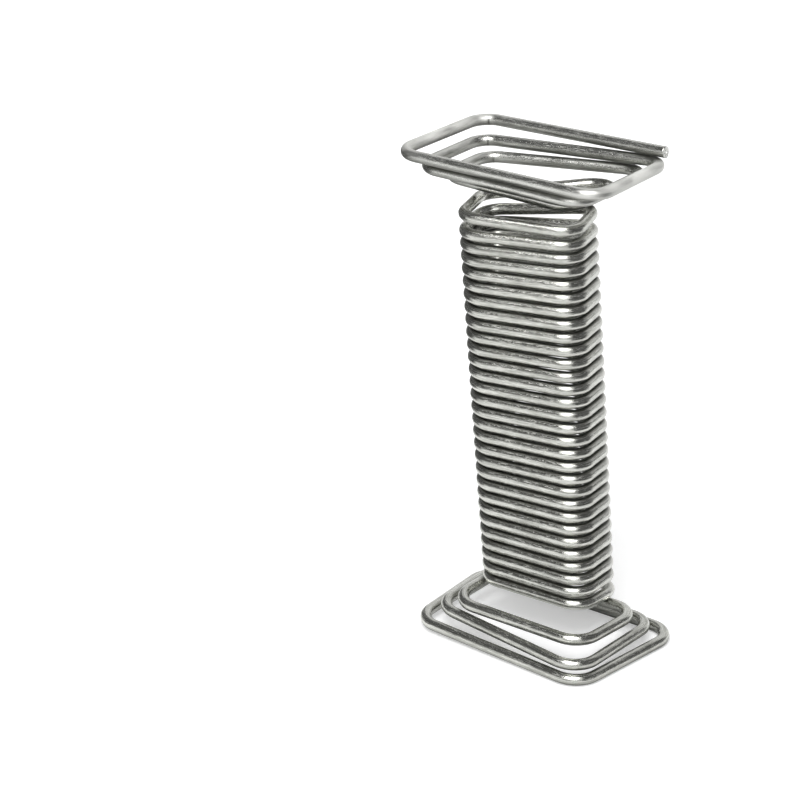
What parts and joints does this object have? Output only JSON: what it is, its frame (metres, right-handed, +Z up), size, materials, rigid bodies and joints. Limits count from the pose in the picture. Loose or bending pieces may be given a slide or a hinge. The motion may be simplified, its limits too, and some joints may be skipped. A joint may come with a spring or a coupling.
{
  "type": "shaped spring",
  "caption": "Shaped compression spring wound from round wire into a close oblong column, with wider rectangular end turns spread out as a head and a foot.",
  "frame": {"origin": "centre of the part's outline in plan, at the height of the floor that the foot rests on", "axes": "+Z up from the foot to the head along the column, X along the long side of the turns with the head's cut wire end towards +X, -Y the front and +Y the side where the foot's wire end lies"},
  "size_m": [0.0308, 0.0218, 0.0513],
  "materials": {
    "spring_wire": "bright drawn"
  },
  "bodies": {
    "root": {"spring": "spring_wire"}
  },
  "joints": []
}
